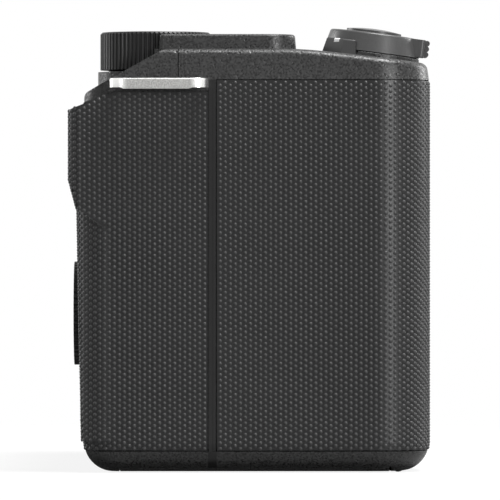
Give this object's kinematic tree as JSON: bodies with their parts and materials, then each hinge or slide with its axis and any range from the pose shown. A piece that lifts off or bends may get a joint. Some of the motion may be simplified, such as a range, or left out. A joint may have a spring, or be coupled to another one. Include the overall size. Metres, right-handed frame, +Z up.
{
  "type": "mirrorless camera",
  "caption": "Compact interchangeable-lens camera body without lens: rubber grip, open bayonet mount, swing-out monitor, dial, zoom and power levers, hinged doors.",
  "frame": {"origin": "bottom centre of the bounding box; the sensor plane is Y = 0", "axes": "-Y out of the lens mount (the front), +Z up, +X to the right when the front is seen, so the grip is at -X"},
  "size_m": [0.122, 0.0546, 0.0671],
  "materials": {
    "cover_plastic": "fine moulded grain, satin black",
    "grip_rubber": "black rubber with raised round dots",
    "screw_steel": "blackened steel",
    "mount_steel": "turned steel",
    "bezel_paint": "satin black paint",
    "inner_plastic": "matte black moulding",
    "contact_gold": "gold plate",
    "lever_satin": "satin black with a soft sheen",
    "button_plastic": "smooth satin black",
    "dial_plastic": "smooth satin black",
    "lock_steel": "bare steel",
    "filter_glass": "coated filter glass",
    "sensor_silicon": "dark iridescent chip",
    "carrier_metal": "bare light metal",
    "board_green": "solder-masked board",
    "battery_case": "dark grey case",
    "catch_plastic": "orange moulding",
    "socket_metal": "plated steel",
    "card_plastic": "smooth dark blue",
    "shoe_metal": "black plated steel",
    "grille_metal": "perforated black metal",
    "lug_nickel": "satin nickel",
    "lamp_lens": "amber window",
    "display_glass": "black display glass"
  },
  "bodies": {
    "body": {"front_cover": "cover_plastic", "rear_cover": "cover_plastic", "top_cover": "cover_plastic", "bottom_cover": "cover_plastic", "grip_rubber_front": "grip_rubber", "grip_rubber_rear": "grip_rubber", "cover_screws": "screw_steel", "mount_ring": "mount_steel", "mount_screws": "screw_steel", "mount_bezel": "bezel_paint", "lens_contact_block": "inner_plastic", "lens_contact_pins": "contact_gold", "light_baffle": "inner_plastic", "sensor_window": "filter_glass", "image_sensor": "sensor_silicon", "sensor_frame": "carrier_metal", "main_chassis": "carrier_metal", "main_board": "board_green", "heat_spreader": "carrier_metal", "battery": "battery_case", "battery_box": "inner_plastic", "battery_contacts": "inner_plastic", "tripod_socket": "socket_metal", "card_slot": "socket_metal", "memory_card": "card_plastic", "side_sockets": "socket_metal", "hinge_pins": "screw_steel", "shoe_rails": "shoe_metal", "shoe_contacts": "inner_plastic", "mic_grille": "grille_metal", "mic_capsules": "inner_plastic", "dial_encoder": "inner_plastic", "shutter_tower": "cover_plastic", "top_board": "board_green", "wheel_hub": "inner_plastic", "strap_lugs": "lug_nickel", "tally_lamp": "lamp_lens"},
    "lens_release": {"lens_release_button": "lever_satin", "lens_lock_pin": "lock_steel"},
    "battery_door": {"battery_door": "cover_plastic"},
    "battery_door_lock": {"battery_door_lock": "button_plastic"},
    "battery_catch": {"battery_catch": "catch_plastic"},
    "card_door": {"card_door": "cover_plastic"},
    "terminal_door": {"terminal_door": "cover_plastic"},
    "control_dial": {"control_dial": "dial_plastic"},
    "power_lever": {"power_lever": "lever_satin"},
    "zoom_lever": {"zoom_lever": "lever_satin"},
    "shutter_button": {"shutter_button": "lever_satin"},
    "movie_button": {"movie_button": "button_plastic"},
    "mode_button": {"mode_button": "button_plastic"},
    "defocus_button": {"defocus_button": "button_plastic"},
    "control_wheel": {"control_wheel": "dial_plastic"},
    "centre_button": {"centre_button": "button_plastic"},
    "menu_button": {"menu_button": "button_plastic"},
    "fn_button": {"fn_button": "button_plastic"},
    "playback_button": {"playback_button": "button_plastic"},
    "delete_button": {"delete_button": "button_plastic"},
    "monitor": {"monitor_frame": "cover_plastic", "monitor_panel": "display_glass", "monitor_arm": "cover_plastic"}
  },
  "joints": [
    {"name": "shutter_press", "type": "slide", "parent": "body", "child": "shutter_button", "axis": [0, 0.1236, -0.9923], "range_m": [0, 0.0007], "stiffness_N_per_m": 400},
    {"name": "zoom_turn", "type": "hinge", "parent": "body", "child": "zoom_lever", "pos_m": [-0.043, -0.0184, 0.06243], "axis": [0, -0.1236, 0.9923], "range_deg": [-17, 17], "stiffness_Nm_per_rad": 0.02},
    {"name": "power_turn", "type": "hinge", "parent": "body", "child": "power_lever", "pos_m": [-0.043, -0.0184, 0.06243], "axis": [0, -0.1236, 0.9923], "range_deg": [-30, 0]},
    {"name": "dial_turn", "type": "hinge", "parent": "body", "child": "control_dial", "pos_m": [-0.044, 0.0142, 0.063], "axis": [0, 0, 1], "continuous": true},
    {"name": "movie_press", "type": "slide", "parent": "body", "child": "movie_button", "axis": [0, 0, -1], "range_m": [0, 0.0005], "stiffness_N_per_m": 300},
    {"name": "mode_press", "type": "slide", "parent": "body", "child": "mode_button", "axis": [0, 0, -1], "range_m": [0, 0.0005], "stiffness_N_per_m": 300},
    {"name": "defocus_press", "type": "slide", "parent": "body", "child": "defocus_button", "axis": [0, 0, -1], "range_m": [0, 0.0005], "stiffness_N_per_m": 300},
    {"name": "lens_release_press", "type": "slide", "parent": "body", "child": "lens_release", "axis": [0, 1, 0], "range_m": [0, 0.002], "stiffness_N_per_m": 300},
    {"name": "monitor_swing", "type": "hinge", "parent": "body", "child": "monitor", "pos_m": [0.0544, 0.0222, 0.031], "axis": [0, 0, -1], "range_deg": [0, 176]},
    {"name": "wheel_turn", "type": "hinge", "parent": "body", "child": "control_wheel", "pos_m": [-0.038, 0.0249, 0.0238], "axis": [0, 1, 0], "continuous": true},
    {"name": "centre_press", "type": "slide", "parent": "body", "child": "centre_button", "axis": [0, -1, 0], "range_m": [0, 0.0004], "stiffness_N_per_m": 300},
    {"name": "menu_press", "type": "slide", "parent": "body", "child": "menu_button", "axis": [0, -1, 0], "range_m": [0, 0.0005], "stiffness_N_per_m": 300},
    {"name": "fn_press", "type": "slide", "parent": "body", "child": "fn_button", "axis": [0, -1, 0], "range_m": [0, 0.0005], "stiffness_N_per_m": 300},
    {"name": "playback_press", "type": "slide", "parent": "body", "child": "playback_button", "axis": [0, -1, 0], "range_m": [0, 0.0005], "stiffness_N_per_m": 300},
    {"name": "delete_press", "type": "slide", "parent": "body", "child": "delete_button", "axis": [0, -1, 0], "range_m": [0, 0.0005], "stiffness_N_per_m": 300},
    {"name": "battery_door_swing", "type": "hinge", "parent": "body", "child": "battery_door", "pos_m": [-0.043, -0.0224, 0.0011], "axis": [-1, 0, 0], "range_deg": [0, 100]},
    {"name": "door_lock_slide", "type": "slide", "parent": "battery_door", "child": "battery_door_lock", "axis": [1, 0, 0], "range_m": [0, 0.002]},
    {"name": "catch_slide", "type": "slide", "parent": "body", "child": "battery_catch", "axis": [1, 0, 0], "range_m": [0, 0.0014], "stiffness_N_per_m": 100},
    {"name": "card_door_swing", "type": "hinge", "parent": "body", "child": "card_door", "pos_m": [0.0565, 0.0079, 0.0186], "axis": [0, 0, -1], "range_deg": [0, 95]},
    {"name": "terminal_door_swing", "type": "hinge", "parent": "body", "child": "terminal_door", "pos_m": [0.0565, 0.0079, 0.0446], "axis": [0, 0, -1], "range_deg": [0, 95]}
  ]
}
